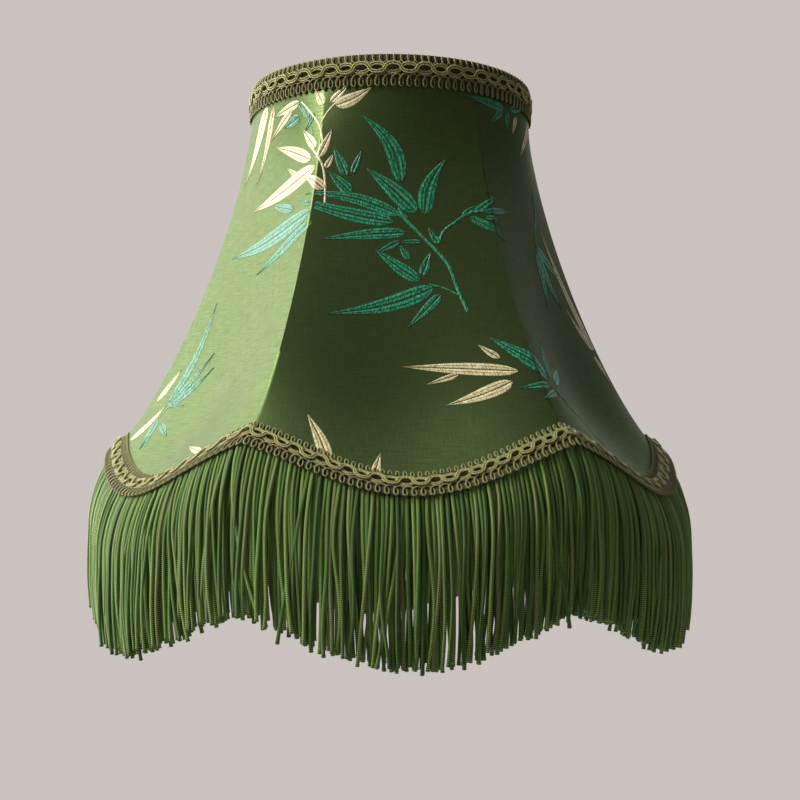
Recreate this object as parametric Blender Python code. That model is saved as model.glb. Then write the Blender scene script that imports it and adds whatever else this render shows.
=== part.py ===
"""Fringed fabric lamp shade: a six-rib wire frame that flares to a scalloped base, bound with tape, covered
and lined in two halves, trimmed with braid and cord fringe, and hung on a tilting two-arm fitter.

The origin is the centre of the fitter ring's underside, where the ring sits on the lamp holder. +Z is up, and
-Y is the front, at the middle of a panel. Angles run from the front, positive towards +X.
"""

import math
from bisect import bisect_right
from functools import lru_cache

import bmesh
import bpy
from mathutils import Matrix, Vector

MM = 0.001

# Wire frame. Diameters are over the wire.
TOP_RING_DIAMETER = 152 * MM
BASE_DIAMETER = 305 * MM
FRAME_HEIGHT = 204 * MM  # between the centres of the top ring and of the ribs' feet
WIRE_RADIUS = 1.5 * MM
PANELS = 6
TOP_HANDLE = 65 * MM  # how long the cover keeps its upright start
BASE_HANDLE = 40 * MM  # how long it keeps its flared end
BASE_FLARE = math.radians(47)  # its lower edge, from upright
SCALLOP_DROP = 24.5 * MM  # the lowest point of the base wire, below the ribs' feet
SCALLOP_ROUNDNESS = 0.35  # 0 gives sharp peaks at the ribs, 1 gives round ones

# The plan of the cover is round at both rings. At the waist it is straighter from rib to rib.
ROUND_AT_WAIST = 0.22  # 1 is round, 0 is straight
ROUND_FADE = 40 * MM  # how fast the rings' roundness dies away up and down the panel

# Layers, as thicknesses, and the gaps between them.
GAP = 0.4 * MM
CLOTH_GAP = 0.6 * MM  # from the taped wires to the cloth on either side of them
TAPE_THICKNESS = 0.4 * MM
COVER_THICKNESS = 0.8 * MM
LINING_THICKNESS = 0.6 * MM
HEADING_THICKNESS = 1.0 * MM
BRAID_THICKNESS = 2.0 * MM
BRAID_EDGE_THICKNESS = 1.2 * MM

# Trimmings.
BRAID_WIDTH = 17.5 * MM
BRAID_SHOULDER = 4 * MM  # from either edge in to full thickness
BRAID_RISE = 1.5 * MM  # the top braid stands this far over the top ring's centre
HEADING_WIDTH = 12 * MM
HEM = 2.6 * MM  # cloth and trimmings reach this far past the base wire's centre
FRINGE_DROP = 76 * MM
FRINGE_THICKNESS = 3.6 * MM
FRINGE_FLARE = 9 * MM  # the cords first follow the flare, this far out
FRINGE_FLARE_DROP = 30 * MM
FRINGE_CURL = 3 * MM  # the cut ends turn in by this

# Tilting fitter.
SEAT_DROP = 50 * MM  # from the top ring's centre down to the fitter ring's underside
PIVOT_DROP = 15 * MM  # from the top ring's centre down to the tilting axis
FITTER_BORE_RADIUS = 21 * MM
FITTER_RIM = 6 * MM
FITTER_THICKNESS = 2.4 * MM
EYE_RADIUS = 5 * MM
EYE_THICKNESS = 3.2 * MM  # a little over the wire's diameter
EYE_INSET = 12.5 * MM  # from the top ring's centre line in to the middle of the stay's eye
RIVET_RADIUS = 2 * MM
RIVET_HEAD_RADIUS = 3.8 * MM
RIVET_HEAD_THICKNESS = 1.2 * MM
PIVOT_GAP = 0.3 * MM
WELD_GAP = 0.3 * MM
NEATENER_WIDTH = 12 * MM
NEATENER_LENGTH = 18 * MM

# Fineness.
PANEL_STEPS = 6
COVER_ROWS = 15
LINING_ROWS = 13
FRINGE_ROWS = 5
ROW_CROWDING = 0.6  # 0 spaces a sheet's rows evenly, and 1 crowds them most towards its edges
RIB_STEPS = 16
WIRE_SIDES = 8
RING_STEPS = 48

# Sizes that follow from the ones above.
TOP_RING_RADIUS = TOP_RING_DIAMETER / 2 - WIRE_RADIUS
BASE_RADIUS = BASE_DIAMETER / 2 - WIRE_RADIUS
TOP_RING_Z = SEAT_DROP
BASE_Z = TOP_RING_Z - FRAME_HEIGHT
PIVOT_Z = TOP_RING_Z - PIVOT_DROP
TAPE_INNER = WIRE_RADIUS + GAP
TAPE_OUTER = TAPE_INNER + TAPE_THICKNESS
COVER_INNER = TAPE_OUTER + CLOTH_GAP
COVER_OUTER = COVER_INNER + COVER_THICKNESS
HEADING_INNER = COVER_OUTER + GAP
HEADING_OUTER = HEADING_INNER + HEADING_THICKNESS
LINING_OUTER = -(TAPE_OUTER + CLOTH_GAP)
LINING_INNER = LINING_OUTER - LINING_THICKNESS
PANEL_ANGLE = 2 * math.pi / PANELS

# Colours (linear), roughness, metallic.
STEEL = ("zinc_plated_steel", (0.55, 0.55, 0.53), 0.35, 1.0)
TAPE = ("cotton_tape", (0.72, 0.68, 0.58), 0.9, 0.0)
BROCADE = ("green_satin_brocade", (0.035, 0.06, 0.02), 0.5, 0.0)
LINING = ("cream_satin_lining", (0.75, 0.68, 0.52), 0.6, 0.0)
BRAID = ("olive_scroll_braid", (0.25, 0.24, 0.07), 0.75, 0.0)
FRINGE = ("green_cord_fringe", (0.08, 0.19, 0.035), 0.7, 0.0)


# ---------------------------------------------------------------- the surface that the frame lies in


def across(theta):
    """How far across its panel an angle lies, from 0 at one rib to 1 at the next."""
    return (theta / PANEL_ANGLE + 0.5) % 1.0


def scallop(theta):
    """How far below the ribs' feet the base wire lies at an angle."""
    wave = math.sin(math.pi * across(theta))
    return SCALLOP_DROP * ((1 - SCALLOP_ROUNDNESS) * wave + SCALLOP_ROUNDNESS * wave * wave)


@lru_cache(maxsize=None)
def fall_line(drop, steps=300):
    """Points from the top ring to the base wire, where that lies drop below the ribs' feet, and their lengths."""
    foot = BASE_Z - drop
    ends = (
        (TOP_RING_RADIUS, TOP_RING_Z),
        (TOP_RING_RADIUS, TOP_RING_Z - TOP_HANDLE),
        (BASE_RADIUS - BASE_HANDLE * math.sin(BASE_FLARE), foot + BASE_HANDLE * math.cos(BASE_FLARE)),
        (BASE_RADIUS, foot),
    )
    points = []
    for k in range(steps + 1):
        t = k / steps
        shares = ((1 - t) ** 3, 3 * t * (1 - t) ** 2, 3 * t * t * (1 - t), t**3)
        points.append(tuple(sum(share * end[axis] for share, end in zip(shares, ends)) for axis in (0, 1)))
    lengths = [0.0]
    for before, after in zip(points, points[1:]):
        lengths.append(lengths[-1] + math.dist(before, after))
    return points, lengths


def base_length(theta):
    """How far down the cover the base wire lies at an angle."""
    return fall_line(scallop(theta))[1][-1]


def profile(theta, down):
    """Radius, height and slope from upright, at a length down the cover. It runs straight on past both ends."""
    points, lengths = fall_line(scallop(theta))
    if down <= 0:
        return TOP_RING_RADIUS, TOP_RING_Z - down, 0.0
    if down >= lengths[-1]:
        past = down - lengths[-1]
        radius, height = points[-1]
        return radius + past * math.sin(BASE_FLARE), height - past * math.cos(BASE_FLARE), BASE_FLARE
    k = min(bisect_right(lengths, down), len(lengths) - 1)
    (r0, z0), (r1, z1) = points[k - 1], points[k]
    share = (down - lengths[k - 1]) / (lengths[k] - lengths[k - 1])
    return r0 + share * (r1 - r0), z0 + share * (z1 - z0), math.atan2(r1 - r0, z0 - z1)


def plan(theta, down):
    """The cover's radius at an angle, as a share of the fall line's: straighter at the waist than at the rings."""
    off_middle = (across(theta) - 0.5) * PANEL_ANGLE
    straight = math.cos(PANEL_ANGLE / 2) / math.cos(off_middle)
    near_top = math.exp(-((max(down, 0) / ROUND_FADE) ** 2))
    near_base = math.exp(-((max(base_length(theta) - down, 0) / ROUND_FADE) ** 2))
    roundness = ROUND_AT_WAIST + (1 - ROUND_AT_WAIST) * max(near_top, near_base)
    return roundness + (1 - roundness) * straight


def skin(theta, down, out):
    """The point at an angle, a length down from the top ring, and a distance out from the wires' centres."""
    radius, height, slope = profile(theta, down)
    radius = (radius + out * math.cos(slope)) * plan(theta, down)
    return Vector((radius * math.sin(theta), -radius * math.cos(theta), height + out * math.sin(slope)))


def at_base(theta, down, out):
    """As skin, with down counted from the scalloped base wire."""
    return skin(theta, base_length(theta) + down, out)


# ---------------------------------------------------------------- making solids


def material(finish):
    name, colour, roughness, metallic = finish
    if name not in bpy.data.materials:
        made = bpy.data.materials.new(name)
        made.use_nodes = True
        shader = made.node_tree.nodes["Principled BSDF"]
        shader.inputs["Base Color"].default_value = (*colour, 1)
        shader.inputs["Roughness"].default_value = roughness
        shader.inputs["Metallic"].default_value = metallic
    return bpy.data.materials[name]


def add_object(name, data, finish, body, about_pivot=False):
    """Adds a piece to a body. Its mesh is in the model's own frame, or about the tilting axis."""
    data.materials.append(material(finish))
    made = bpy.data.objects.new(name, data)
    bpy.context.scene.collection.objects.link(made)
    made.parent = body
    made.location = (0, 0, 0) if about_pivot else -body.location
    return made


def mesh_from(name, bm, smooth=40):
    bmesh.ops.recalc_face_normals(bm, faces=bm.faces)
    if bm.calc_volume(signed=True) < 0:
        bmesh.ops.reverse_faces(bm, faces=bm.faces)
    mesh = bpy.data.meshes.new(name)
    bm.to_mesh(mesh)
    bm.free()
    mesh.shade_smooth()
    mesh.set_sharp_from_angle(angle=math.radians(smooth))
    return mesh


def closed_loop(bm, points):
    """A loop of edges through the points, and its vertices and edges."""
    vertices = [bm.verts.new(point) for point in points]
    edges = [bm.edges.new((a, b)) for a, b in zip(vertices, vertices[1:] + vertices[:1])]
    return vertices, edges


def band(section, place, start=-math.pi, end=math.pi, steps=PANELS * PANEL_STEPS):
    """A section of (down, out) pairs carried round the shade from start to end, then put where place says."""
    whole = end - start > 2 * math.pi - 1e-6
    bm = bmesh.new()
    vertices, edges = closed_loop(bm, [(1 + out, 0, down) for down, out in section])
    first = bm.faces.new(vertices) if not whole else None
    turned = bmesh.ops.spin(
        bm, geom=vertices + edges, cent=(0, 0, 0), axis=(0, 0, 1), angle=end - start, steps=steps, use_merge=whole
    )
    if first is not None:
        bm.faces.new([v for v in turned["geom_last"] if isinstance(v, bmesh.types.BMVert)])
    for vertex in bm.verts:
        x, y, down = vertex.co
        theta = start + math.atan2(y, x) % (2 * math.pi)
        vertex.co = place(theta, down, math.hypot(x, y) - 1)
    return bm


def strip(top, bottom, inner, outer, rows):
    """The section of a sheet: down its outer face and back up its inner one, with finer rows near its edges."""
    shares = [k / rows - ROW_CROWDING * math.sin(2 * math.pi * k / rows) / (2 * math.pi) for k in range(rows + 1)]
    downs = [top + (bottom - top) * share for share in shares]
    return [(down, outer) for down in downs] + [(down, inner) for down in reversed(downs)]


def round_section(radius, sides=WIRE_SIDES):
    angles = [2 * math.pi * (k + 0.5) / sides for k in range(sides)]
    return [(radius * math.cos(a), radius * math.sin(a)) for a in angles]


def split_tube_section(inner, outer, open_towards, opening, steps):
    """A tube's section, split open towards one side, because a wire leaves it there."""
    sweep = 2 * math.pi - opening
    angles = [open_towards + opening / 2 + sweep * k / steps for k in range(steps + 1)]
    outside = [(outer * math.cos(a), outer * math.sin(a)) for a in angles]
    return outside + [(inner * math.cos(a), inner * math.sin(a)) for a in reversed(angles)]


def rod(points, radius=WIRE_RADIUS):
    """A closed mesh of a round wire through the points."""
    curve = bpy.data.curves.new("wire", "CURVE")
    curve.dimensions = "3D"
    curve.bevel_depth = radius
    curve.bevel_resolution = WIRE_SIDES // 2 - 2
    curve.use_fill_caps = True
    spline = curve.splines.new("POLY")
    spline.points.add(len(points) - 1)
    for point, place in zip(spline.points, points):
        point.co = (*place, 1)
    guide = bpy.data.objects.new("wire", curve)
    bm = bmesh.new()
    bm.from_mesh(bpy.data.meshes.new_from_object(guide))
    bpy.data.objects.remove(guide)
    bmesh.ops.remove_doubles(bm, verts=bm.verts, dist=0.001 * MM)
    return bm


def turned(section, axis, steps):
    """A section of (along, radius) pairs turned all the way round an axis through the origin."""
    bm = bmesh.new()
    vertices, edges = closed_loop(bm, [(radius, 0, along) for along, radius in section])
    bmesh.ops.spin(
        bm, geom=vertices + edges, cent=(0, 0, 0), axis=(0, 0, 1), angle=2 * math.pi, steps=steps, use_merge=True
    )
    bmesh.ops.remove_doubles(bm, verts=bm.verts, dist=0.001 * MM)
    if axis == "X":
        bmesh.ops.rotate(bm, verts=bm.verts, matrix=Matrix.Rotation(math.pi / 2, 3, "Y"))
    return bm


def smooth_path(knots, between=3):
    """Points along a smooth curve through the knots."""
    ends = [2 * knots[0] - knots[1], *knots, 2 * knots[-1] - knots[-2]]
    points = []
    for k in range(1, len(ends) - 2):
        a, b, c, d = ends[k - 1 : k + 3]
        for step in range(between):
            t = step / between
            points.append(
                0.5 * (2 * b + (c - a) * t + (2 * a - 5 * b + 4 * c - d) * t * t + (3 * b - a - 3 * c + d) * t**3)
            )
    return points + [knots[-1]]


def combine(target, operation, bm):
    """Welds a shape to an object, or cuts it away. It shares the object's parent."""
    tool = bpy.data.objects.new(f"{target.name}_{operation.lower()}", mesh_from("tool", bm))
    bpy.context.scene.collection.objects.link(tool)
    tool.parent = target.parent
    tool.location = target.location
    tool.hide_render = True
    tool.display_type = "WIRE"
    step = target.modifiers.new(operation.lower(), "BOOLEAN")
    step.operation = operation
    step.solver = "EXACT"
    step.object = tool


# ---------------------------------------------------------------- the frame and its binding


def make_rings(shade):
    add_object("top_ring", mesh_from("top_ring", band(round_section(WIRE_RADIUS), skin)), STEEL, shade)
    add_object("base_ring", mesh_from("base_ring", band(round_section(WIRE_RADIUS), at_base)), STEEL, shade)
    # In a section, angle 0 points down the cover. The ribs come to the top ring from there, and the stays
    # from inside it.
    top_tape = split_tube_section(TAPE_INNER, TAPE_OUTER, -math.radians(58), math.radians(215), steps=3)
    base_tape = split_tube_section(TAPE_INNER, TAPE_OUTER, math.pi, math.radians(120), steps=4)
    add_object("top_ring_tape", mesh_from("top_ring_tape", band(top_tape, skin)), TAPE, shade)
    add_object("base_ring_tape", mesh_from("base_ring_tape", band(base_tape, at_base)), TAPE, shade)


def rib_frame(theta, down):
    """The rib's centre, and the directions across the rib and out of the cover."""
    slope = profile(theta, down)[2]
    outward = Vector((math.sin(theta) * math.cos(slope), -math.cos(theta) * math.cos(slope), math.sin(slope)))
    return skin(theta, down, 0), Vector((math.cos(theta), math.sin(theta), 0)), outward


def rib_tape(theta, start, end):
    """A tape sleeve along a rib, split on the side that faces the lining."""
    section = split_tube_section(TAPE_INNER, TAPE_OUTER, math.pi, math.radians(60), steps=6)
    bm = bmesh.new()
    vertices, _ = closed_loop(bm, [(out, aside, 0) for out, aside in section])
    face = bm.faces.new(vertices)
    for _ in range(RIB_STEPS):
        grown = bmesh.ops.extrude_face_region(bm, geom=[face])["geom"]
        moved = [v for v in grown if isinstance(v, bmesh.types.BMVert)]
        bmesh.ops.translate(bm, verts=moved, vec=(0, 0, (end - start) / RIB_STEPS))
        if face.calc_center_median().z > 0:
            bmesh.ops.delete(bm, geom=[face], context="FACES_ONLY")
        face = next(f for f in grown if isinstance(f, bmesh.types.BMFace))
    for vertex in bm.verts:
        out, aside, down = vertex.co
        centre, sideways, outward = rib_frame(theta, start + down)
        vertex.co = centre + aside * sideways + out * outward
    return bm


def make_ribs(shade):
    weld = WIRE_RADIUS + WELD_GAP
    tape_end = TAPE_OUTER + GAP
    for k in range(PANELS):
        theta = (k + 0.5) * PANEL_ANGLE
        length = base_length(theta)
        downs = [weld + (length - 2 * weld) * j / RIB_STEPS for j in range(RIB_STEPS + 1)]
        wire = rod([skin(theta, down, 0) for down in downs])
        add_object(f"rib_{k + 1}", mesh_from("rib", wire), STEEL, shade)
        tape = rib_tape(theta, tape_end, length - tape_end)
        add_object(f"rib_tape_{k + 1}", mesh_from("rib_tape", tape), TAPE, shade)


# ---------------------------------------------------------------- cloth and trimmings


def make_halves(shade, name, inner, outer, rows, top, finish):
    """A sheet in two halves, which meet on the ribs at the two sides. top is where its upper edge lies."""
    section = strip(0.0, 1.0, inner, outer, rows)

    def place(theta, share, out):
        return skin(theta, top + share * (base_length(theta) + HEM - top), out)

    seam = GAP / 2 / BASE_RADIUS
    quarter = math.pi / 2
    steps = PANELS * PANEL_STEPS // 2
    for side, middle in (("front", 0), ("back", math.pi)):
        sheet = band(section, place, middle - quarter + seam, middle + quarter - seam, steps)
        add_object(f"{name}_{side}", mesh_from(name, sheet, smooth=25), finish, shade)


def braid_section(top, inner):
    """A braid's section: flat behind, crowned in front, and thinner at its looped edges."""
    bottom = top + BRAID_WIDTH
    return [
        (top, inner),
        (top, inner + BRAID_EDGE_THICKNESS),
        (top + BRAID_SHOULDER, inner + BRAID_THICKNESS),
        (bottom - BRAID_SHOULDER, inner + BRAID_THICKNESS),
        (bottom, inner + BRAID_EDGE_THICKNESS),
        (bottom, inner),
        (bottom - BRAID_WIDTH / 2, inner),
    ]


def make_trimmings(shade):
    top_braid = band(braid_section(-BRAID_RISE, COVER_OUTER + GAP), skin)
    add_object("top_braid", mesh_from("top_braid", top_braid), BRAID, shade)
    base_braid = band(braid_section(HEM - BRAID_WIDTH, HEADING_OUTER + GAP), at_base)
    add_object("base_braid", mesh_from("base_braid", base_braid), BRAID, shade)
    heading_section = strip(HEM - HEADING_WIDTH, HEM, HEADING_INNER, HEADING_OUTER, 2)
    heading = band(heading_section, at_base)
    add_object("fringe_heading", mesh_from("fringe_heading", heading), FRINGE, shade)
    make_fringe(shade)


def fringe_point(theta, share, out):
    """A point of the fringe: share is how far down its drop, out how far outside its inner face."""
    top = at_base(theta, HEM + GAP, HEADING_INNER - FRINGE_THICKNESS / 3)
    fallen = share * FRINGE_DROP
    flared = 1 - (1 - min(fallen / FRINGE_FLARE_DROP, 1)) ** 2
    curled = max(share - 0.6, 0) / 0.4
    radius = math.hypot(top.x, top.y) + FRINGE_FLARE * flared - FRINGE_CURL * curled**2 + out
    return Vector((radius * math.sin(theta), -radius * math.cos(theta), top.z - fallen))


def make_fringe(shade):
    """The hanging cords, as one closed skirt under each scallop."""
    section = strip(0.0, 1.0, 0.0, FRINGE_THICKNESS, FRINGE_ROWS)
    half = PANEL_ANGLE / 2 - GAP / 2 / BASE_RADIUS
    for k in range(PANELS):
        middle = k * PANEL_ANGLE
        skirt = band(section, fringe_point, middle - half, middle + half, PANEL_STEPS)
        add_object(f"fringe_{k + 1}", mesh_from("fringe", skirt, smooth=25), FRINGE, shade)


# ---------------------------------------------------------------- the tilting fitter


def eye(x):
    """A flat ring round the tilting axis, that far along it."""
    hole = RIVET_RADIUS + PIVOT_GAP
    half = EYE_THICKNESS / 2
    bm = turned([(-half, hole), (-half, EYE_RADIUS), (half, EYE_RADIUS), (half, hole)], "X", RING_STEPS // 3)
    bmesh.ops.translate(bm, verts=bm.verts, vec=(x, 0, 0))
    return bm


def drill(x):
    """A cutter that clears an eye's hole where its wire runs into it."""
    hole = RIVET_RADIUS + PIVOT_GAP
    reach = EYE_THICKNESS
    bm = turned([(-reach, 0.0), (-reach, hole), (reach, hole), (reach, 0.0)], "X", RING_STEPS // 3)
    bmesh.ops.translate(bm, verts=bm.verts, vec=(x, 0, 0))
    return bm


def rivet_section(reach):
    """Half of a rivet with two domed heads, for eyes that reach this far along its axis."""
    inner, outer = reach[0] - PIVOT_GAP, reach[1] + PIVOT_GAP
    dome = 0.6 * RIVET_HEAD_RADIUS
    return [
        (inner - RIVET_HEAD_THICKNESS, 0.0),
        (inner - RIVET_HEAD_THICKNESS, dome),
        (inner - RIVET_HEAD_THICKNESS / 2, RIVET_HEAD_RADIUS),
        (inner, RIVET_HEAD_RADIUS),
        (inner, RIVET_RADIUS),
        (outer, RIVET_RADIUS),
        (outer, RIVET_HEAD_RADIUS),
        (outer + RIVET_HEAD_THICKNESS / 2, RIVET_HEAD_RADIUS),
        (outer + RIVET_HEAD_THICKNESS, dome),
        (outer + RIVET_HEAD_THICKNESS, 0.0),
    ]


def mirrored(bm, side):
    """The shape as made for +X, or its mirror image for -X."""
    if side < 0:
        bmesh.ops.scale(bm, vec=(-1, 1, 1), verts=bm.verts)
        bmesh.ops.reverse_faces(bm, faces=bm.faces)
    return bm


def make_fitter(shade, fitter):
    """Stays and rivets hang on the frame; the arms and the ring, which the lamp holds, turn under them."""
    stay_eye = TOP_RING_RADIUS - EYE_INSET
    arm_eye = stay_eye - EYE_THICKNESS - PIVOT_GAP
    rim = FITTER_BORE_RADIUS + FITTER_RIM
    middle = FITTER_THICKNESS / 2
    root = TOP_RING_RADIUS - WIRE_RADIUS - WELD_GAP
    neck = EYE_RADIUS - WIRE_RADIUS  # the wire ends here above its eye's centre, inside the eye
    stay_knots = [
        Vector((root, 0, PIVOT_DROP)),
        Vector((root - 3 * MM, 0, PIVOT_DROP)),
        Vector((stay_eye + 2.2 * MM, 0, PIVOT_DROP - 1 * MM)),
        Vector((stay_eye + 0.6 * MM, 0, PIVOT_DROP - 4.5 * MM)),
        Vector((stay_eye, 0, neck)),
    ]
    foot = rim + WELD_GAP
    level = middle - PIVOT_Z
    width = arm_eye - foot
    arm_knots = [
        Vector((arm_eye, 0, -neck)),
        Vector((arm_eye - 0.03 * width, 0, 0.27 * level)),
        Vector((arm_eye - 0.18 * width, 0, 0.5 * level)),
        Vector((arm_eye - 0.45 * width, 0, 0.78 * level)),
        Vector((arm_eye - 0.78 * width, 0, 0.97 * level)),
        Vector((foot, 0, level)),
    ]
    for name, side in (("right", 1), ("left", -1)):
        for piece, knots, centre, body in (
            ("stay", stay_knots, stay_eye, shade),
            ("fitter_arm", arm_knots, arm_eye, fitter),
        ):
            wire = mirrored(rod(smooth_path(knots)), side)
            made = add_object(f"{piece}_{name}", mesh_from(piece, wire), STEEL, body, about_pivot=True)
            combine(made, "UNION", eye(side * centre))
            combine(made, "DIFFERENCE", drill(side * centre))
        reach = (arm_eye - EYE_THICKNESS / 2, stay_eye + EYE_THICKNESS / 2)
        rivet = mirrored(turned(rivet_section(reach), "X", RING_STEPS // 3), side)
        add_object(f"rivet_{name}", mesh_from("rivet", rivet), STEEL, shade, about_pivot=True)
    ring = turned(
        [(0, FITTER_BORE_RADIUS), (0, rim), (FITTER_THICKNESS, rim), (FITTER_THICKNESS, FITTER_BORE_RADIUS)],
        "Z",
        RING_STEPS,
    )
    add_object("fitter_ring", mesh_from("fitter_ring", ring), STEEL, fitter)


def make_neateners(shade):
    """A strip of lining cloth under each stay, over the lining's raw edge."""
    top = WIRE_RADIUS + GAP
    outer = LINING_INNER - 2 * GAP
    half = NEATENER_WIDTH / 2 / TOP_RING_RADIUS
    section = strip(top, top + NEATENER_LENGTH, outer - LINING_THICKNESS, outer, 2)
    for name, middle in (("right", math.pi / 2), ("left", -math.pi / 2)):
        patch = band(section, skin, middle - half, middle + half, 2)
        add_object(f"neatener_{name}", mesh_from("neatener", patch), LINING, shade)


def main():
    for old in list(bpy.data.objects):
        bpy.data.objects.remove(old)
    fitter = bpy.data.objects.new("fitter", None)
    shade = bpy.data.objects.new("shade", None)
    for body in (fitter, shade):
        bpy.context.scene.collection.objects.link(body)
        body.location = (0, 0, PIVOT_Z)
    make_rings(shade)
    make_ribs(shade)
    make_halves(shade, "lining", LINING_INNER, LINING_OUTER, LINING_ROWS, WIRE_RADIUS + 2 * GAP, LINING)
    make_neateners(shade)
    make_halves(shade, "cover", COVER_INNER, COVER_OUTER, COVER_ROWS, -WIRE_RADIUS, BROCADE)
    make_trimmings(shade)
    make_fitter(shade, fitter)


main()
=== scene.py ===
import math

import bmesh
import bpy
import numpy as np
from mathutils import Matrix, Vector


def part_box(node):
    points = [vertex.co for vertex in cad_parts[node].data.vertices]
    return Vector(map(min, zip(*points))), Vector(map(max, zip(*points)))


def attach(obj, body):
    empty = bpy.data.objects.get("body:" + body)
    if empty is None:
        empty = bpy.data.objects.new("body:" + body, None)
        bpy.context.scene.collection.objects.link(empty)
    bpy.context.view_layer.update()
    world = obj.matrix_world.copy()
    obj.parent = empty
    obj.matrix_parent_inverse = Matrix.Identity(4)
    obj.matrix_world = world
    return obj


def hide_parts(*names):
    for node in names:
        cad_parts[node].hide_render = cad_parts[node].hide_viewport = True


# The looks of a fringed lamp shade: a wire frame under satin brocade, a cream lining, scroll braid round both
# edges, a cord fringe under six scallops, and the tilting fitter that the shade hangs on. Sizes are in metres.
# Angles round the shade run from the front (-Y), positive towards +X.

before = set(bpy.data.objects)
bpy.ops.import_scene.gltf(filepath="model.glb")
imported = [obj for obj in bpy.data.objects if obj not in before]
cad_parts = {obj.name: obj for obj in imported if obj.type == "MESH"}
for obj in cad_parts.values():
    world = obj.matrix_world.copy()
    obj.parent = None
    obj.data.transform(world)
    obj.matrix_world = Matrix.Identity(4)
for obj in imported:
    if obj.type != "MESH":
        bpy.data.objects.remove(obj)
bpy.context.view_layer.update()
MM = 0.001


# ================================================================ studio
# A pale grey room with a matt floor well below and soft lamps. Its light comes from the left and a little
# behind, so that the left panels shine and the front ones stay dark.


def node(tree, kind, settings=None, inputs=None):
    """Adds a node with its settings, and its inputs as values or links."""
    made = tree.nodes.new(kind)
    for key, value in (settings or {}).items():
        setattr(made, key, value)
    for key, value in (inputs or {}).items():
        if isinstance(value, bpy.types.NodeSocket):
            tree.links.new(value, made.inputs[key])
        else:
            made.inputs[key].default_value = value
    return made


scene = bpy.context.scene
scene.view_settings.view_transform = "Standard"

world = bpy.data.worlds.new("pale_room")
scene.world = world
world.use_nodes = True
world_tree = world.node_tree
backdrop = world_tree.nodes["Background"]
backdrop.inputs["Color"].default_value = (0.62, 0.57, 0.545, 1)
backdrop.inputs["Strength"].default_value = 0.95
# the room is dimmer than its backdrop, and brightest towards the window, at the back on the left
WINDOW_WAY = (-0.49, 0.665, 0.56)
way = node(world_tree, "ShaderNodeTexCoord").outputs["Generated"]
towards_window = node(
    world_tree, "ShaderNodeVectorMath", {"operation": "DOT_PRODUCT"}, {0: way, 1: WINDOW_WAY}
).outputs["Value"]
brightness = node(
    world_tree,
    "ShaderNodeMapRange",
    {"interpolation_type": "SMOOTHSTEP"},
    {"Value": towards_window, "From Min": 0.25, "From Max": 0.95, "To Min": 0.235, "To Max": 3.2},
).outputs["Result"]
room = node(
    world_tree, "ShaderNodeBackground", None, {"Color": (0.595, 0.585, 0.585, 1), "Strength": brightness}
).outputs["Background"]
seen_by_camera = node(world_tree, "ShaderNodeLightPath").outputs["Is Camera Ray"]
either = node(
    world_tree, "ShaderNodeMixShader", None, {0: seen_by_camera, 1: room, 2: backdrop.outputs["Background"]}
)
world_tree.links.new(either.outputs["Shader"], world_tree.nodes["World Output"].inputs["Surface"])

FLOOR_Z = -1.2
FLOOR_RADIUS = 3.1
bm = bmesh.new()
bmesh.ops.create_circle(bm, cap_ends=True, segments=96, radius=FLOOR_RADIUS)
bmesh.ops.translate(bm, verts=bm.verts, vec=(0, 0, FLOOR_Z))
floor_mesh = bpy.data.meshes.new("floor")
bm.to_mesh(floor_mesh)
bm.free()
floor = bpy.data.objects.new("floor", floor_mesh)
scene.collection.objects.link(floor)
floor_material = bpy.data.materials.new("matt_painted_floor")
floor_material.use_nodes = True
floor_shader = floor_material.node_tree.nodes["Principled BSDF"]
floor_shader.inputs["Base Color"].default_value = (0.38, 0.355, 0.34, 1)
floor_shader.inputs["Roughness"].default_value = 0.9
floor_mesh.materials.append(floor_material)


def softbox(name, place, aim, width, height, power, colour):
    """A rectangular lamp that faces a point."""
    light = bpy.data.lights.new(name, "AREA")
    light.shape = "RECTANGLE"
    light.size = width
    light.size_y = height
    light.energy = power
    light.color = colour
    lamp = bpy.data.objects.new(name, light)
    scene.collection.objects.link(lamp)
    lamp.location = place
    lamp.rotation_euler = (Vector(aim) - Vector(place)).to_track_quat("-Z", "Y").to_euler()


softbox("window", (-1.15, 0.62, 0.3), (0, 0, -0.1), 1.0, 1.4, 13, (1.0, 0.975, 0.94))
softbox("ceiling_lamp", (-1.4, -0.42, 1.05), (0, 0, -0.1), 0.7, 0.7, 46, (1.0, 0.96, 0.9))

# The eye stands 4 degrees to the left of the front, a little lower than the ribs' feet, and looks up.
EYE_DISTANCE = 0.799
EYE_Z = -0.1772
EYE_TURN = math.radians(-3.99)
LOOK_TURN = math.radians(-4.37)
LOOK_UP = math.radians(3.9)
camera_data = bpy.data.cameras.new("camera")
camera_data.sensor_width = 36
camera_data.lens = 63.87
camera = bpy.data.objects.new("camera", camera_data)
scene.collection.objects.link(camera)
camera.location = (EYE_DISTANCE * math.sin(EYE_TURN), -EYE_DISTANCE * math.cos(EYE_TURN), EYE_Z)
camera.rotation_euler = (math.radians(90) + LOOK_UP, 0, LOOK_TURN)
scene.camera = camera


# ================================================================ wire and fitter
# A frame of 3 mm mild steel wire, spot-welded at every joint, and a fitter of bent wire and pressed sheet that
# hangs on two rivets. All of it is zinc-plated.


def linear(hex_code):
    """An sRGB hex colour as linear red, green, blue and alpha."""
    parts = [int(hex_code[k : k + 2], 16) / 255 for k in (1, 3, 5)]
    return (*(c / 12.92 if c <= 0.04045 else ((c + 0.055) / 1.055) ** 2.4 for c in parts), 1)


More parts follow.
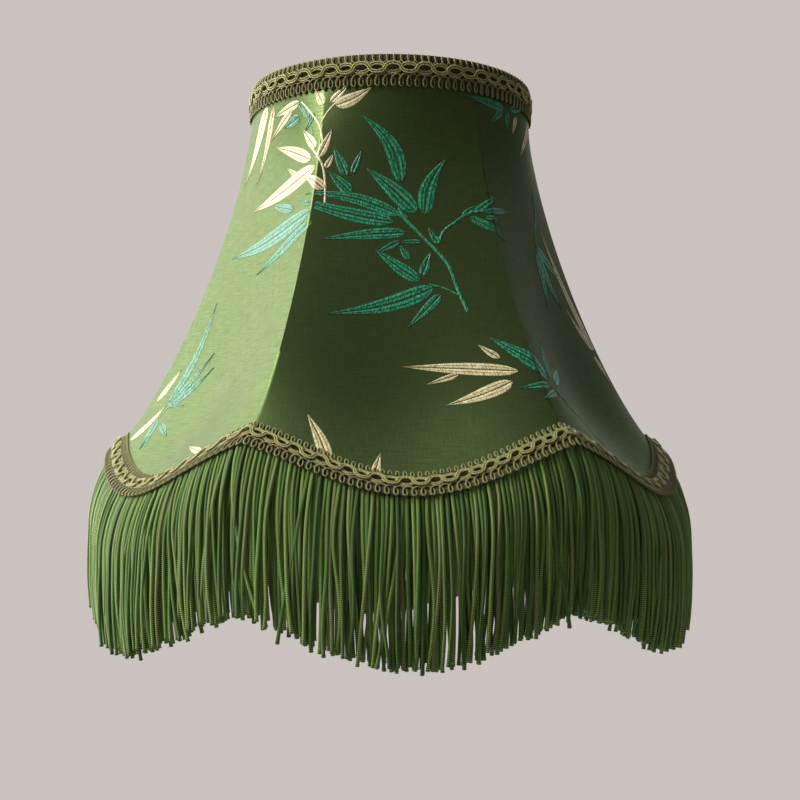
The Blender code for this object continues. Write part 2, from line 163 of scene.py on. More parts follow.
def finish(name, colour, roughness, **sockets):
    """A new material with its Principled shader's constant values, and the shader and tree to build on."""
    made = bpy.data.materials.new(name)
    made.use_nodes = True
    shader = made.node_tree.nodes["Principled BSDF"]
    shader.inputs["Base Color"].default_value = linear(colour)
    shader.inputs["Roughness"].default_value = roughness
    for key, value in sockets.items():
        shader.inputs[key.replace("_", " ")].default_value = value
    return made, shader, made.node_tree


def ramp(tree, factor, stops):
    """A colour ramp between (position, colour) stops."""
    made = node(tree, "ShaderNodeValToRGB", None, {"Fac": factor})
    while len(made.color_ramp.elements) < len(stops):
        made.color_ramp.elements.new(0.5)
    for element, (position, colour) in zip(made.color_ramp.elements, stops):
        element.position = position
        element.color = linear(colour) if isinstance(colour, str) else (colour, colour, colour, 1)
    return made.outputs["Color"]


# Bright zinc plate: a pale grey metal, cloudy in patches of about 7 mm where the plating is thin and duller.
steel, steel_shader, steel_tree = finish("zinc_plated_steel_wire", "#C9C8C4", 0.34, Metallic=1.0)
steel_place = node(steel_tree, "ShaderNodeTexCoord").outputs["Object"]
bloom = node(
    steel_tree, "ShaderNodeTexNoise", None, {"Vector": steel_place, "Scale": 1 / (7 * MM), "Detail": 4.0}
).outputs["Fac"]
plate_colour = ramp(steel_tree, bloom, ((0.3, "#A9A8A4"), (0.7, "#D2D1CD")))
plate_roughness = ramp(steel_tree, bloom, ((0.3, 0.48), (0.7, 0.28)))
steel_tree.links.new(plate_colour, steel_shader.inputs["Base Color"])
steel_tree.links.new(plate_roughness, steel_shader.inputs["Roughness"])


def show(name, mesh, material, body, replaced=()):
    """Puts a finished mesh in the scene as a piece of the shade or of the fitter."""
    mesh.name = name
    mesh.materials.clear()
    mesh.materials.append(material)
    piece = bpy.data.objects.new(name, mesh)
    scene.collection.objects.link(piece)
    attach(piece, body)
    if replaced:
        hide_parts(*replaced)
    return piece


def mesh_of(name, bm, crease=35):
    """The finished mesh of a bmesh, smooth except at creases."""
    mesh = bpy.data.meshes.new(name)
    bm.to_mesh(mesh)
    bm.free()
    mesh.shade_smooth()
    mesh.set_sharp_from_angle(angle=math.radians(crease))
    return mesh


def turned(section, steps):
    """A closed section of (radius, height) pairs, turned all the way round Z."""
    bm = bmesh.new()
    verts = [bm.verts.new((radius, 0, height)) for radius, height in section]
    edges = [bm.edges.new(pair) for pair in zip(verts, verts[1:] + verts[:1])]
    bmesh.ops.spin(
        bm, geom=verts + edges, axis=(0, 0, 1), cent=(0, 0, 0), angle=2 * math.pi, steps=steps, use_merge=True
    )
    bmesh.ops.remove_doubles(bm, verts=bm.verts, dist=1e-6)
    bmesh.ops.recalc_face_normals(bm, faces=bm.faces)
    return bm


def along_x(bm, x):
    """Lays a turned shape along X and moves it to x."""
    bmesh.ops.rotate(bm, verts=bm.verts, cent=(0, 0, 0), matrix=Matrix.Rotation(math.pi / 2, 3, "Y"))
    bmesh.ops.translate(bm, verts=bm.verts, vec=(x, 0, 0))
    return bm


def tubes(name, paths, facing, radius, sides, closed=False, shape=None):
    """Round cords or wires through paths of points, as one mesh. Facing holds, for each path, the direction
    that its first side looks in. Each vertex keeps how far along its cord it lies, and the cosine and sine of
    its place round the cord, in the attribute "cord"; and a number of its own cord in "tint".
    """
    turns = 2 * np.pi * np.arange(sides) / sides
    verts, places, tints, faces = [], [], [], []
    start = 0
    for number, (path, face) in enumerate(zip(paths, facing)):
        path = np.asarray(path, float)
        count = len(path)
        if closed:
            ahead = np.roll(path, -1, 0) - np.roll(path, 1, 0)
        else:
            ahead = np.gradient(path, axis=0)
        ahead /= np.linalg.norm(ahead, axis=1, keepdims=True)
        side = np.broadcast_to(np.asarray(face, float), path.shape)
        side = side - ahead * np.sum(side * ahead, axis=1, keepdims=True)
        side = side / np.linalg.norm(side, axis=1, keepdims=True)
        other = np.cross(ahead, side)
        along = np.concatenate(([0], np.cumsum(np.linalg.norm(np.diff(path, axis=0), axis=1))))
        reach = radius if shape is None else radius * shape(along)[:, None, None]
        ring = side[:, None] * np.cos(turns)[None, :, None] + other[:, None] * np.sin(turns)[None, :, None]
        verts.append((path[:, None] + reach * ring).reshape(-1, 3))
        round_it = np.tile(np.column_stack([np.cos(turns), np.sin(turns)]), (count, 1))
        places.append(np.column_stack([np.repeat(along, sides), round_it]))
        tints.append(np.full(count * sides, (number * 0.618034) % 1.0))
        rows = np.arange(count if closed else count - 1)[:, None]
        columns = np.arange(sides)[None, :]
        after, beside = (rows + 1) % count, (columns + 1) % sides
        row, next_row = rows * sides, after * sides
        corners = (row + columns, row + beside, next_row + beside, next_row + columns)
        faces += (start + np.stack(np.broadcast_arrays(*corners), -1).reshape(-1, 4)).tolist()
        if not closed:
            faces.append([start + k for k in range(sides)][::-1])
            faces.append([start + (count - 1) * sides + k for k in range(sides)])
        start += count * sides
    mesh = bpy.data.meshes.new(name)
    mesh.from_pydata(np.concatenate(verts).tolist(), [], faces)
    cord = mesh.attributes.new("cord", "FLOAT_VECTOR", "POINT")
    cord.data.foreach_set("vector", np.concatenate(places).ravel())
    tint = mesh.attributes.new("tint", "FLOAT", "POINT")
    tint.data.foreach_set("value", np.concatenate(tints))
    mesh.shade_smooth()
    return mesh


def smooth_path(knots, between):
    """Points along a smooth curve through the knots."""
    ends = [2 * knots[0] - knots[1], *knots, 2 * knots[-1] - knots[-2]]
    points = []
    for k in range(1, len(ends) - 2):
        a, b, c, d = ends[k - 1 : k + 3]
        for t in np.arange(between) / between:
            bend, twist = 2 * a - 5 * b + 4 * c - d, 3 * b - a - 3 * c + d
            points.append(0.5 * (2 * b + (c - a) * t + bend * t**2 + twist * t**3))
    return np.array([*points, knots[-1]])


WIRE_RADIUS = 1.5 * MM
WIRE_FLAT = WIRE_RADIUS * math.cos(math.pi / 8)  # the modelled wire has eight sides
ring_low, ring_high = (Vector(corner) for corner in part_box("top_ring"))
TOP_RADIUS = ring_high.x - WIRE_FLAT
TOP_Z = (ring_low.z + ring_high.z) / 2

# The fitter ring: pressed from sheet, with its two edges rolled over.
hole_low, hole_high = (Vector(corner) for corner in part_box("fitter_ring"))
RIM_RADIUS = hole_high.x
BORE_RADIUS = 21 * MM
SHEET = (hole_high.z - hole_low.z) / 2
BEAD_WIDTH = 1.9 * MM
bead = [math.radians(angle) for angle in range(-90, 91, 30)]
ring_section = [(RIM_RADIUS - SHEET + SHEET * math.cos(a), SHEET + SHEET * math.sin(a)) for a in bead]
ring_section += [(RIM_RADIUS - BEAD_WIDTH, 1.75 * SHEET), (BORE_RADIUS + BEAD_WIDTH, 1.75 * SHEET)]
ring_section += [(BORE_RADIUS + SHEET - SHEET * math.cos(a), SHEET - SHEET * math.sin(a)) for a in bead]
ring_section += [(BORE_RADIUS + BEAD_WIDTH, 0.25 * SHEET), (RIM_RADIUS - BEAD_WIDTH, 0.25 * SHEET)]
ring_mesh = mesh_of("fitter_ring", turned(ring_section, 128))
show("pressed_fitter_ring", ring_mesh, steel, "fitter", ["fitter_ring"])

# The arms and stays: wire bent in one plane, flattened into an eye at the pivot, and riveted so that it turns.
EYE_RADIUS = 5 * MM
EYE_HOLE = 2.3 * MM
EYE_HALF = 1.6 * MM
EYE_GAP = 0.3 * MM
arm_low, arm_high = (Vector(corner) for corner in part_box("fitter_arm_right"))
pivot_z = arm_high.z - EYE_RADIUS
arm_eye = arm_high.x - EYE_HALF
stay_eye = arm_eye + 2 * EYE_HALF + EYE_GAP
foot_x = arm_low.x
fall = SHEET - pivot_z
width = arm_eye - foot_x
neck = EYE_RADIUS - WIRE_RADIUS
arm_knots = (
    (arm_eye, -neck),
    (arm_eye - 0.03 * width, 0.27 * fall),
    (arm_eye - 0.18 * width, 0.5 * fall),
    (arm_eye - 0.45 * width, 0.78 * fall),
    (arm_eye - 0.78 * width, 0.97 * fall),
    (foot_x - 0.3 * MM, fall),
)
ring_drop = TOP_Z - pivot_z
stay_knots = (
    (TOP_RADIUS - WIRE_RADIUS - 0.2 * MM, ring_drop),
    (TOP_RADIUS - WIRE_RADIUS - 3.3 * MM, ring_drop),
    (stay_eye + 2.2 * MM, ring_drop - 1 * MM),
    (stay_eye + 0.6 * MM, ring_drop - 4.5 * MM),
    (stay_eye, neck),
)
half_wire = (EYE_RADIUS - EYE_HOLE) / 2
full_turn = [math.radians(angle) for angle in range(0, 360, 30)]
eye_section = [
    (EYE_HOLE + half_wire + half_wire * math.cos(a), 0.94 * EYE_HALF * math.sin(a)) for a in full_turn
]
DOME_RADIUS = 3.8 * MM
DOME_HEIGHT = 1.2 * MM
SHANK_RADIUS = 2.0 * MM
for side_name, side in (("right", 1), ("left", -1)):
    for piece_name, knots, eye_x, body, node_name in (
        ("arm", arm_knots, arm_eye, "fitter", "fitter_arm_" + side_name),
        ("stay", stay_knots, stay_eye, "shade", "stay_" + side_name),
    ):
        path = smooth_path([Vector((x, 0, pivot_z + z)) for x, z in knots], 8)
        bm = bmesh.new()
        bm.from_mesh(tubes("wire", [path], [(0, 1, 0)], WIRE_RADIUS, 16))
        eye_bm = along_x(turned(eye_section, 40), eye_x)
        bmesh.ops.translate(eye_bm, verts=eye_bm.verts, vec=(0, 0, pivot_z))
        bm.from_mesh(mesh_of("eye", eye_bm))
        if side < 0:
            bmesh.ops.scale(bm, vec=(-1, 1, 1), verts=bm.verts)
            bmesh.ops.reverse_faces(bm, faces=bm.faces)
        show(f"bent_{piece_name}_{side_name}", mesh_of(piece_name, bm, 50), steel, body, [node_name])
    # The rivet: a plain shank and two hammered domes.
    inner = arm_eye - EYE_HALF - EYE_GAP
    outer = stay_eye + EYE_HALF + EYE_GAP
    dome = [math.radians(angle) for angle in range(0, 91, 15)]
    rivet_section = [(DOME_RADIUS * math.sin(a), inner - DOME_HEIGHT * math.cos(a)) for a in dome]
    rivet_section += [(SHANK_RADIUS, inner + 0.01 * MM), (SHANK_RADIUS, outer - 0.01 * MM)]
    rivet_section += [(DOME_RADIUS * math.cos(a), outer + DOME_HEIGHT * math.sin(a)) for a in dome]
    rivet_bm = along_x(turned(rivet_section, 32), 0)
    bmesh.ops.translate(rivet_bm, verts=rivet_bm.verts, vec=(0, 0, pivot_z))
    if side < 0:
        bmesh.ops.scale(rivet_bm, vec=(-1, 1, 1), verts=rivet_bm.verts)
        bmesh.ops.reverse_faces(rivet_bm, faces=rivet_bm.faces)
    rivet_mesh = mesh_of("rivet", rivet_bm, 50)
    show(f"domed_rivet_{side_name}", rivet_mesh, steel, "shade", ["rivet_" + side_name])

# The frame's rings and ribs keep their modelled wires.
for node_name in ["top_ring", "base_ring"] + [f"rib_{k}" for k in range(1, 7)]:
    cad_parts[node_name].data.materials.clear()
    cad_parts[node_name].data.materials.append(steel)


# ================================================================ tapes
# Cotton binding tape, 12 mm wide and wound tight round every wire under the cloth. The cover and the lining are
# sewn to it.

# Unbleached cotton twill: matt and off-white, with slanting ribs about 1.2 mm apart, coarser than real ones so
# that they show.
tape, tape_shader, tape_tree = finish("cotton_tape", "#D9D2BF", 0.88, Sheen_Weight=0.25)
tape_place = node(tape_tree, "ShaderNodeTexCoord").outputs["Object"]
twill = node(
    tape_tree,
    "ShaderNodeTexWave",
    {"wave_type": "BANDS", "bands_direction": "DIAGONAL"},
    {"Vector": tape_place, "Scale": 300.0, "Distortion": 2.0, "Detail": 2.0},
).outputs["Fac"]
tape_bump = node(tape_tree, "ShaderNodeBump", None, {"Strength": 0.4, "Distance": 0.2 * MM, "Height": twill})
tape_tree.links.new(tape_bump.outputs["Normal"], tape_shader.inputs["Normal"])
tape_tree.links.new(ramp(tape_tree, twill, ((0, "#C4BCA6"), (1, "#E2DCCB"))), tape_shader.inputs["Base Color"])
for node_name in ["top_ring_tape", "base_ring_tape"] + [f"rib_tape_{k}" for k in range(1, 7)]:
    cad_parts[node_name].data.materials.clear()
    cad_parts[node_name].data.materials.append(tape)


# ================================================================ lining
# Cream satin, stretched inside the wires in two halves, and turned out over the top and base wires, where it is
# sewn to the tape. A little loop of it goes round each stay, to hide the slit that the lining has there. The
# surface that the wires give the cloth is worked out here, from the ribs' bow and the scallops.

PANEL_ANGLE = math.radians(60)
TOP_HANDLE = 65 * MM
BASE_HANDLE = 40 * MM
BASE_FLARE = math.radians(47)
SCALLOP_ROUNDNESS = 0.35
ROUND_AT_WAIST = 0.22
ROUND_FADE = 40 * MM

foot_low, foot_high = (Vector(corner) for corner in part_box("base_ring"))
BASE_RADIUS = foot_high.x - WIRE_FLAT
BASE_Z = foot_high.z - WIRE_FLAT
SCALLOP_DROP = BASE_Z - foot_low.z - WIRE_FLAT


def fall_line(drop, stations):
    """Radius, height and slope of the cloth at even steps down it, where the base wire dips by the drop."""
    foot = BASE_Z - drop
    t = np.linspace(0, 1, 600)
    shares = np.array([(1 - t) ** 3, 3 * t * (1 - t) ** 2, 3 * t * t * (1 - t), t**3])
    flared = BASE_RADIUS - BASE_HANDLE * math.sin(BASE_FLARE)
    radius = np.dot([TOP_RADIUS, TOP_RADIUS, flared, BASE_RADIUS], shares)
    height = np.dot([TOP_Z, TOP_Z - TOP_HANDLE, foot + BASE_HANDLE * math.cos(BASE_FLARE), foot], shares)
    lengths = np.concatenate(([0], np.cumsum(np.hypot(np.diff(radius), np.diff(height)))))
    at = np.linspace(0, lengths[-1], stations)
    radius = np.interp(at, lengths, radius)
    height = np.interp(at, lengths, height)
    return radius, height, np.arctan2(np.gradient(radius), -np.gradient(height)), lengths[-1]


STATIONS = 241
LINES = 25
fall_lines = [fall_line(drop, STATIONS) for drop in np.linspace(0, SCALLOP_DROP, LINES)]
LINE_TABLE = np.array([line[:3] for line in fall_lines])
LINE_LENGTHS = np.array([line[3] for line in fall_lines])


def across(theta):
    """How far across its panel an angle lies, from 0 at one rib to 1 at the next."""
    return (np.asarray(theta) / PANEL_ANGLE + 0.5) % 1.0


def scallop_share(theta):
    """How deep the scallop is at an angle, from 0 at a rib to 1 at the middle of a panel."""
    wave = np.sin(np.pi * across(theta))
    return (1 - SCALLOP_ROUNDNESS) * wave + SCALLOP_ROUNDNESS * wave * wave


def base_length(theta):
    """How far down the cloth the base wire lies."""
    return np.interp(scallop_share(theta) * (LINES - 1), np.arange(LINES), LINE_LENGTHS)


def skin(theta, down, out):
    """Points at angles, lengths down from the top ring and distances out from the wires' centres."""
    theta, down, out = np.broadcast_arrays(*(np.asarray(value, float) for value in (theta, down, out)))
    length = base_length(theta)
    line = np.clip(scallop_share(theta) * (LINES - 1), 0, LINES - 1.001)
    station = np.clip(down / length * (STATIONS - 1), 0, STATIONS - 1.001)
    i, j = line.astype(int), station.astype(int)
    a, b = line - i, station - j
    a, b = a[..., None], b[..., None]
    upper = (1 - a) * LINE_TABLE[i, :, j] + a * LINE_TABLE[i + 1, :, j]
    lower = (1 - a) * LINE_TABLE[i, :, j + 1] + a * LINE_TABLE[i + 1, :, j + 1]
    radius, height, slope = np.moveaxis((1 - b) * upper + b * lower, -1, 0)
    slope = np.where(down < 0, 0, np.where(down > length, BASE_FLARE, slope))
    past = np.clip(down - length, 0, None)
    radius = radius + past * math.sin(BASE_FLARE)
    height = height - past * math.cos(BASE_FLARE) + np.clip(-down, 0, None)
    straight = math.cos(PANEL_ANGLE / 2) / np.cos((across(theta) - 0.5) * PANEL_ANGLE)
    near_top = np.exp(-((np.clip(down, 0, None) / ROUND_FADE) ** 2))
    near_base = np.exp(-((np.clip(length - down, 0, None) / ROUND_FADE) ** 2))
    roundness = ROUND_AT_WAIST + (1 - ROUND_AT_WAIST) * np.maximum(near_top, near_base)
    radius = (radius + out * np.cos(slope)) * (roundness + (1 - roundness) * straight)
    return np.stack([radius * np.sin(theta), -radius * np.cos(theta), height + out * np.sin(slope)], axis=-1)


def at_base(theta, down, out):
    """As skin, with down counted from the scalloped base wire."""
    return skin(theta, base_length(theta) + down, out)


# Acetate satin: a soft, pale gloss. Its weft floats are coarser than real ones, so that they show.
lining, lining_shader, lining_tree = finish(
    "cream_acetate_satin", "#D8CBAB", 0.42, Sheen_Weight=0.3, Sheen_Roughness=0.35
)
lining_place = node(lining_tree, "ShaderNodeAttribute", {"attribute_name": "cloth"}).outputs["Vector"]
LINING_FLOAT = 3.85 * MM
LINING_SPACING = 0.385 * MM
lining_floats = node(
    lining_tree,
    "ShaderNodeMapping",
    None,
    {"Vector": lining_place, "Scale": (1 / LINING_FLOAT, 1 / LINING_SPACING, 1)},
).outputs["Vector"]
lining_weave = node(
    lining_tree, "ShaderNodeTexNoise", None, {"Vector": lining_floats, "Scale": 1.0, "Detail": 3.0}
).outputs["Fac"]
lining_bump = node(
    lining_tree, "ShaderNodeBump", None, {"Strength": 0.25, "Distance": 0.1 * MM, "Height": lining_weave}
)
lining_colour = ramp(lining_tree, lining_weave, ((0.3, "#CDBE9B"), (0.7, "#E0D4B8")))
lining_tree.links.new(lining_bump.outputs["Normal"], lining_shader.inputs["Normal"])
lining_tree.links.new(lining_colour, lining_shader.inputs["Base Color"])


def slabs(name, patches):
    """Sheets as one mesh, each with an outer and an inner side that are grids of points, from top to bottom and
    left to right. Each point's place on the cut cloth, in metres, is kept in the attribute "cloth".
    """
    points, flats, quads = [], [], []
    start = 0
    for outer, inner, cloth in patches:
        rows, columns = outer.shape[:2]
        count = rows * columns
        at = start + np.arange(count).reshape(rows, columns)
        a, b, c, d = at[:-1, :-1], at[:-1, 1:], at[1:, 1:], at[1:, :-1]
        rim = np.concatenate([at[0, :], at[1:, -1], at[-1, -2::-1], at[-2:0:-1, 0]])
        after = np.roll(rim, -1)
        quads.append(np.stack([a, d, c, b], -1).reshape(-1, 4))
        quads.append(count + np.stack([a, b, c, d], -1).reshape(-1, 4))
        quads.append(np.stack([rim, after, count + after, count + rim], -1))
        points += [outer.reshape(-1, 3), inner.reshape(-1, 3)]
        flats += [cloth.reshape(-1, cloth.shape[-1])] * 2
        start += 2 * count
    mesh = bpy.data.meshes.new(name)
    mesh.from_pydata(np.concatenate(points).tolist(), [], np.concatenate(quads).tolist())
    flats = np.concatenate(flats)
    if flats.shape[1] == 2:
        flats = np.column_stack([flats, np.zeros(len(flats))])
    cut_cloth = mesh.attributes.new("cloth", "FLOAT_VECTOR", "POINT")
    cut_cloth.data.foreach_set("vector", flats.ravel())
    mesh.shade_smooth()
    mesh.set_sharp_from_angle(angle=math.radians(50))
    return mesh


HALF = math.radians(90)
SIDE_GAP = 0.0008  # radians between a half and its side seam
LINING_OUT = -3.2 * MM
LINING_THICK = 0.5 * MM
CLOTH_RADIUS = 110 * MM  # half way down the shade, where the cut cloth is as wide as the frame
# the cloth's way over the top wire and under the base wire, as lengths down and distances out in millimetres
lining_turns = ((-0.6, 2.3), (-1.4, 1.9), (-2.0, 1.0), (-2.2, 0.0), (-1.9, -1.3), (-1.0, -2.4), (0.8, -3.1))
lining_foot = ((0.0, -3.2), (1.6, -2.8), (2.8, -1.6), (3.2, 0.0), (3.1, 1.4), (2.6, 2.5))
for name, centre in (("front", 0), ("back", math.pi)):
    thetas = np.linspace(centre - HALF + SIDE_GAP, centre + HALF - SIDE_GAP, 217)[None, :]
    length = base_length(thetas)
    downs = [np.broadcast_to(down * MM, length.shape) for down, out in lining_turns]
    outs = [np.broadcast_to(out * MM, length.shape) for down, out in lining_turns]
    for share in np.linspace(0.015, 0.985, 44):
        downs.append(share * length)
        outs.append(np.broadcast_to(LINING_OUT, length.shape))
    downs += [length + down * MM for down, out in lining_foot]
    outs += [np.broadcast_to(out * MM, length.shape) for down, out in lining_foot]
    downs, outs = np.concatenate(downs), np.concatenate(outs)
    middle = skin(thetas, downs, outs)
    normals = np.cross(np.gradient(middle, axis=1), np.gradient(middle, axis=0))
    normals /= -np.linalg.norm(normals, axis=2, keepdims=True)
    cloth = np.stack(np.broadcast_arrays(thetas * CLOTH_RADIUS, downs), -1)
    half_thick = LINING_THICK / 2 * normals
    mesh = slabs("lining", [(middle + half_thick, middle - half_thick, cloth)])
    piece = show(f"satin_lining_{name}", mesh, lining, "shade", ["lining_" + name])

for name, centre in (("left", -HALF), ("right", HALF)):
    low, high = (Vector(corner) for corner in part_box("neatener_" + name))
    reach = (high.y - low.y) / 2 / (TOP_RADIUS - 4 * MM)
    thetas = np.linspace(centre - reach, centre + reach, 13)[None, :]
    downs = np.linspace(TOP_Z - high.z, TOP_Z - low.z, 15)[:, None]
    over_stay = np.exp(-(((thetas - centre) / reach * 2.2) ** 2)) * np.exp(-((downs - downs[0]) / (16 * MM)))
    swell = 1.1 * MM * over_stay
    inner = skin(thetas, downs, -4.5 * MM - swell)
    outer = skin(thetas, downs, -3.7 * MM - 0.6 * swell)
    cloth = np.stack(np.broadcast_arrays(thetas * 70 * MM, downs), -1)
    mesh = slabs("loop", [(outer, inner, cloth)])
    piece = show(f"stay_loop_{name}", mesh, lining, "shade", ["neatener_" + name])


# ================================================================ cover
# Dark olive brocade, cut in two halves that meet on the side ribs, and stretched so hard that it creases over
# every rib. Its top and foot are sewn to the tapes under the braid.

COVER_IN, COVER_OUT = 2.9 * MM, 3.7 * MM

# Silk satin: its long floats mirror the window in their own colour, as burnished metal would, so it is mostly
# metallic. Its threads are coarser than real ones, so that they show.
WEFT_FLOAT = 11.1 * MM
WEFT_SPACING = 0.625 * MM
WARP_FLOAT = 8.3 * MM
WARP_SPACING = 0.455 * MM
brocade, brocade_shader, brocade_tree = finish(
    "olive_satin_brocade", "#4D5D38", 0.5, Metallic=0.8, Specular_Tint=linear("#E6ECD9")
)
cloth_place = node(brocade_tree, "ShaderNodeAttribute", {"attribute_name": "cloth"}).outputs["Vector"]
weft = node(
    brocade_tree,
    "ShaderNodeMapping",
    None,
    {"Vector": cloth_place, "Scale": (1 / WEFT_FLOAT, 1 / WEFT_SPACING, 1)},
)
weft_noise = node(
    brocade_tree, "ShaderNodeTexNoise", None, {"Vector": weft.outputs["Vector"], "Scale": 1.0, "Detail": 4.0}
).outputs["Fac"]
warp = node(
    brocade_tree,
    "ShaderNodeMapping",
    None,
    {"Vector": cloth_place, "Scale": (1 / WARP_SPACING, 1 / WARP_FLOAT, 1)},
)
warp_noise = node(
    brocade_tree, "ShaderNodeTexNoise", None, {"Vector": warp.outputs["Vector"], "Scale": 1.0, "Detail": 3.0}
).outputs["Fac"]
threads = node(
    brocade_tree, "ShaderNodeMath", {"operation": "ADD"}, {0: weft_noise, 1: warp_noise}
).outputs["Value"]
threads = node(
    brocade_tree, "ShaderNodeMath", {"operation": "MULTIPLY"}, {0: threads, 1: 0.5}
).outputs["Value"]
brocade_bump = node(
    brocade_tree, "ShaderNodeBump", None, {"Strength": 0.5, "Distance": 0.15 * MM, "Height": threads}
)
brocade_colour = ramp(brocade_tree, threads, ((0.35, "#41502B"), (0.65, "#56683D")))
brocade_roughness = ramp(brocade_tree, threads, ((0.35, 0.48), (0.65, 0.38)))
brocade_tree.links.new(brocade_bump.outputs["Normal"], brocade_shader.inputs["Normal"])
brocade_tree.links.new(brocade_colour, brocade_shader.inputs["Base Color"])
brocade_tree.links.new(brocade_roughness, brocade_shader.inputs["Roughness"])

for name, centre in (("front", 0), ("back", math.pi)):
    thetas = np.linspace(centre - HALF + SIDE_GAP, centre + HALF - SIDE_GAP, 361)[None, :]
    length = base_length(thetas)
    shares = np.linspace(0, 1, 91)[:, None]
    downs = -1.5 * MM + shares * (length + 4.1 * MM)
    cloth = np.stack(np.broadcast_arrays(thetas * CLOTH_RADIUS, downs), -1)
    mesh = slabs("cover", [(skin(thetas, downs, COVER_OUT), skin(thetas, downs, COVER_IN), cloth)])
    piece = show(f"brocade_cover_{name}", mesh, brocade, "shade", ["cover_" + name])


# ================================================================ woven figure
# Sprays of bamboo, brocaded on the cover with floats of emerald and cream silk. Each leaf is two halves with
# the ground showing along the midrib, and the stems are thin and cord-like. The back half repeats the front.


def silk(name, shade_colour, colour, painted_highlight_colour, sheen):
    """Floats of glossy silk, 0.5 by 2 mm, with darker lines between them along the leaf's veins, and a painted
    highlight on the palest floats.
    """
    made, shader, tree = finish(
        name, colour, 0.38, Sheen_Weight=0.9, Sheen_Roughness=0.3, Sheen_Tint=linear(sheen)
    )
    place = node(tree, "ShaderNodeAttribute", {"attribute_name": "cloth"}).outputs["Vector"]
    float_scale = (1 / (0.5 * MM), 1 / (2 * MM), 1)
    floats = node(tree, "ShaderNodeMapping", None, {"Vector": place, "Scale": float_scale})
    floats = node(
        tree, "ShaderNodeTexNoise", None, {"Vector": floats.outputs["Vector"], "Scale": 1.0, "Detail": 3.0}
    ).outputs["Fac"]
    parts = node(tree, "ShaderNodeSeparateXYZ", None, {"Vector": place})
    veins = node(
        tree, "ShaderNodeMath", {"operation": "MULTIPLY"}, {0: parts.outputs["Z"], 1: 2 * math.pi}
    ).outputs["Value"]
    veins = node(tree, "ShaderNodeMath", {"operation": "COSINE"}, {0: veins}).outputs["Value"]
    veins = node(tree, "ShaderNodeMath", {"operation": "POWER"}, {0: veins, 1: 8.0}).outputs["Value"]
    mixed = node(
        tree, "ShaderNodeMath", {"operation": "MULTIPLY_ADD"}, {0: veins, 1: -0.26, 2: floats}
    ).outputs["Value"]
    bump = node(tree, "ShaderNodeBump", None, {"Strength": 0.6, "Distance": 0.2 * MM, "Height": mixed})
    tree.links.new(bump.outputs["Normal"], shader.inputs["Normal"])
    # the palest stop is a painted highlight on the floats
    stops = ((0.3, shade_colour), (0.46, colour), (0.66, painted_highlight_colour))
    tree.links.new(ramp(tree, mixed, stops), shader.inputs["Base Color"])
    return made


# Filament silk: a painted highlight where the floats would catch the light, and dark at the bars that tie them
# down.
emerald = silk("emerald_silk_floats", "#07402A", "#16704A", "#4FBF90", "#6FE6CC")
cream = silk("cream_silk_floats", "#8A7F52", "#D6CB99", "#F3ECCB", "#FFF8DC")

FIGURE_OUT = COVER_OUT
FIGURE_SUNK = 0.1 * MM
LEAF_STEPS = 15
FULLEST = 0.386  # the widest that the leaf's outline gets before it is scaled to the leaf's width


def on_cloth(angle, down, aside, heading):
    """Angle and length down of points to the left of a line on the cloth that runs in a heading, in radians."""
    around = np.linalg.norm(skin(angle, down, 0)[..., :2], axis=-1)
    return angle - aside * math.cos(heading) / around, down + aside * math.sin(heading)


def leaf(base_angle, base_down, tip_angle, tip_down, width, bend):
    """The two halves of a leaf from its stalk to its tip, in degrees and millimetres."""
    t = np.linspace(0, 1, LEAF_STEPS)[:, None]
    angle = np.radians(base_angle + (tip_angle - base_angle) * t)
    down = (base_down + (tip_down - base_down) * t) * MM
    around = np.linalg.norm(skin(angle[:, 0], down[:, 0], 0)[:, :2], axis=1).mean()
    run = (angle[-1, 0] - angle[0, 0]) * around
    heading = math.atan2(run, down[-1, 0] - down[0, 0])
    length = math.hypot(run, down[-1, 0] - down[0, 0])
    half = width / 2 * MM * (t + 0.002) ** 0.45 * (1 - t) ** 1.15 / FULLEST + 0.1 * MM
    middle = bend * MM * np.sin(np.pi * t)
    halves = []
    for side in (-1, 1):
        across_leaf = np.linspace(0.0, 1.0, 7)[None, :]
        if side < 0:
            across_leaf = across_leaf[:, ::-1]
        gap = np.minimum(0.2 * MM, 0.3 * half)
        aside = middle + side * (gap + (half - gap) * across_leaf)
        at_angle, at_down = on_cloth(angle, down, aside, heading)
        crown = 0.06 * MM + 0.2 * MM * np.sqrt(4 * across_leaf * (1 - across_leaf))
        outer = skin(at_angle, at_down, FIGURE_OUT + crown)
        inner = skin(at_angle, at_down, FIGURE_OUT - FIGURE_SUNK)
        bars = np.broadcast_to(across_leaf, at_angle.shape)
        halves.append((outer, inner, np.stack([at_angle * CLOTH_RADIUS, at_down, bars], -1)))
    return halves


def stem(width, *knots):
    """A stem along a smooth line through knots, in degrees and millimetres."""
    line = smooth_path([Vector((x, y, 0)) for x, y in knots], 5)
    angle, down = np.radians(line[:, :1]), line[:, 1:2] * MM
    around = np.linalg.norm(skin(angle[:, 0], down[:, 0], 0)[:, :2], axis=1)[:, None]
    ahead = np.gradient(np.column_stack([angle * around, down]), axis=0)
    ahead /= np.linalg.norm(ahead, axis=1, keepdims=True)
    aside = width / 2 * MM * np.linspace(1, -1, 4)[None, :]
    at_angle = angle - aside * ahead[:, 1:] / around
    at_down = down + aside * ahead[:, :1]
    crown = np.array([0.06, 0.3, 0.3, 0.06])[None, :] * MM
    outer = skin(at_angle, at_down, FIGURE_OUT + crown)
    inner = skin(at_angle, at_down, FIGURE_OUT - FIGURE_SUNK)
    plain = np.full_like(at_angle, 0.25)
    return [(outer, inner, np.stack([at_angle * CLOTH_RADIUS, at_down, plain], -1))]


